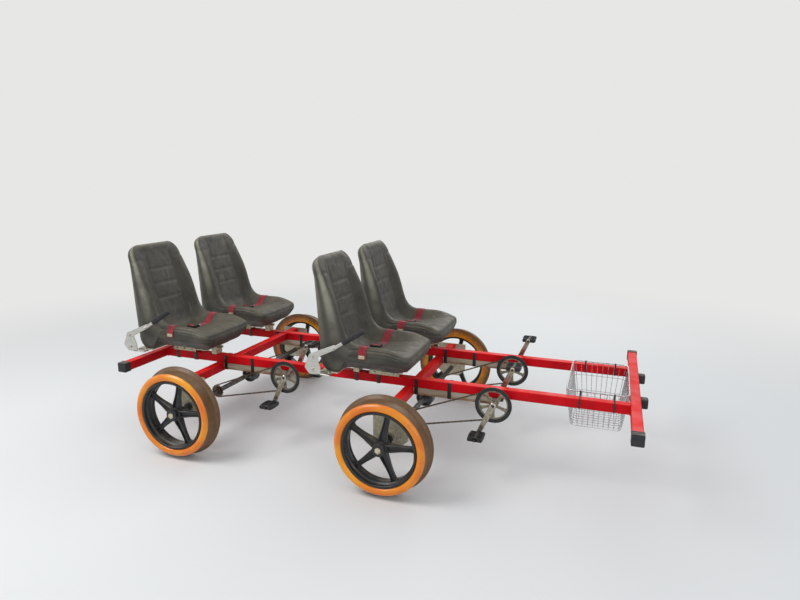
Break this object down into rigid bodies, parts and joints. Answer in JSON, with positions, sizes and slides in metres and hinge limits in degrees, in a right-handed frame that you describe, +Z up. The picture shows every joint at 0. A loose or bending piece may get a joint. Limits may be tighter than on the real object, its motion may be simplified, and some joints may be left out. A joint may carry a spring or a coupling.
{
  "type": "four-seat pedal rail handcar",
  "caption": "Pedal-driven rail car with a square-tube frame, flanged wheels on turning axles, bucket seats, cranks, brake levers and a wire basket.",
  "frame": {"origin": "middle of the length and width, at the lowest point of the wheel flanges", "axes": "+X forward along the track, +Y to the rider's left, +Z up"},
  "size_m": [2.96, 1.584, 1.1403],
  "materials": {
    "frame_red": "gloss",
    "black_plastic": "matte",
    "black_rubber": "matte",
    "black_steel": "satin",
    "basket_wire": "polished",
    "bright_aluminium": "satin",
    "dark_steel": "satin",
    "wheel_black": "satin",
    "orange_tread": "satin",
    "bare_steel": "satin",
    "chain_steel": "satin",
    "seat_shell": "matte",
    "red_webbing": "matte",
    "crank_silver": "satin"
  },
  "bodies": {
    "frame": {"right_beam": "frame_red", "left_beam": "frame_red", "front_bumper": "frame_red", "rear_bumper": "frame_red", "mid_cross_tube": "frame_red", "front_axle_tube": "frame_red", "rear_axle_tube": "frame_red", "end_caps": "black_plastic", "buffers": "black_rubber", "clamp_straps": "black_steel", "basket": "basket_wire", "front_brake_lever": "bright_aluminium", "rear_brake_lever": "bright_aluminium", "front_hangers": "bare_steel", "rear_hangers": "bare_steel", "crank_carriers": "bare_steel", "chains": "chain_steel", "lap_belts": "red_webbing", "front_right_seat": "seat_shell", "front_right_seat_rail": "bare_steel", "front_left_seat": "seat_shell", "front_left_seat_rail": "bare_steel", "rear_right_seat": "seat_shell", "rear_right_seat_rail": "bare_steel", "rear_left_seat": "seat_shell", "rear_left_seat_rail": "bare_steel"},
    "front_axle": {"front_axle": "dark_steel", "front_wheels": "wheel_black", "front_treads": "orange_tread"},
    "rear_axle": {"rear_axle": "dark_steel", "rear_wheels": "wheel_black", "rear_treads": "orange_tread"},
    "front_right_crank": {"front_right_crankset": "crank_silver"},
    "front_right_right_pedal": {"front_right_right_pedal": "black_plastic"},
    "front_right_left_pedal": {"front_right_left_pedal": "black_plastic"},
    "front_left_crank": {"front_left_crankset": "crank_silver"},
    "front_left_right_pedal": {"front_left_right_pedal": "black_plastic"},
    "front_left_left_pedal": {"front_left_left_pedal": "black_plastic"},
    "rear_right_crank": {"rear_right_crankset": "crank_silver"},
    "rear_right_right_pedal": {"rear_right_right_pedal": "black_plastic"},
    "rear_right_left_pedal": {"rear_right_left_pedal": "black_plastic"},
    "rear_left_crank": {"rear_left_crankset": "crank_silver"},
    "rear_left_right_pedal": {"rear_left_right_pedal": "black_plastic"},
    "rear_left_left_pedal": {"rear_left_left_pedal": "black_plastic"}
  },
  "joints": [
    {"name": "front_axle_spin", "type": "hinge", "parent": "frame", "child": "front_axle", "pos_m": [0.259, 0, 0.257], "axis": [0, 1, 0], "continuous": true},
    {"name": "rear_axle_spin", "type": "hinge", "parent": "frame", "child": "rear_axle", "pos_m": [-0.963, 0, 0.257], "axis": [0, 1, 0], "continuous": true},
    {"name": "front_right_crank_spin", "type": "hinge", "parent": "frame", "child": "front_right_crank", "pos_m": [0.735, -0.301, 0.405], "axis": [0, 1, 0], "continuous": true},
    {"name": "front_right_right_pedal_spin", "type": "hinge", "parent": "front_right_crank", "child": "front_right_right_pedal", "pos_m": [0.66585, -0.301, 0.2497], "axis": [0, 1, 0], "continuous": true},
    {"name": "front_right_left_pedal_spin", "type": "hinge", "parent": "front_right_crank", "child": "front_right_left_pedal", "pos_m": [0.80414, -0.301, 0.5603], "axis": [0, 1, 0], "continuous": true},
    {"name": "front_left_crank_spin", "type": "hinge", "parent": "frame", "child": "front_left_crank", "pos_m": [0.735, 0.301, 0.405], "axis": [0, 1, 0], "continuous": true},
    {"name": "front_left_right_pedal_spin", "type": "hinge", "parent": "front_left_crank", "child": "front_left_right_pedal", "pos_m": [0.66585, 0.301, 0.2497], "axis": [0, 1, 0], "continuous": true},
    {"name": "front_left_left_pedal_spin", "type": "hinge", "parent": "front_left_crank", "child": "front_left_left_pedal", "pos_m": [0.80414, 0.301, 0.5603], "axis": [0, 1, 0], "continuous": true},
    {"name": "rear_right_crank_spin", "type": "hinge", "parent": "frame", "child": "rear_right_crank", "pos_m": [-0.487, -0.301, 0.405], "axis": [0, 1, 0], "continuous": true},
    {"name": "rear_right_right_pedal_spin", "type": "hinge", "parent": "rear_right_crank", "child": "rear_right_right_pedal", "pos_m": [-0.55615, -0.301, 0.2497], "axis": [0, 1, 0], "continuous": true},
    {"name": "rear_right_left_pedal_spin", "type": "hinge", "parent": "rear_right_crank", "child": "rear_right_left_pedal", "pos_m": [-0.41785, -0.301, 0.5603], "axis": [0, 1, 0], "continuous": true},
    {"name": "rear_left_crank_spin", "type": "hinge", "parent": "frame", "child": "rear_left_crank", "pos_m": [-0.487, 0.301, 0.405], "axis": [0, 1, 0], "continuous": true},
    {"name": "rear_left_right_pedal_spin", "type": "hinge", "parent": "rear_left_crank", "child": "rear_left_right_pedal", "pos_m": [-0.55615, 0.301, 0.2497], "axis": [0, 1, 0], "continuous": true},
    {"name": "rear_left_left_pedal_spin", "type": "hinge", "parent": "rear_left_crank", "child": "rear_left_left_pedal", "pos_m": [-0.41785, 0.301, 0.5603], "axis": [0, 1, 0], "continuous": true}
  ]
}
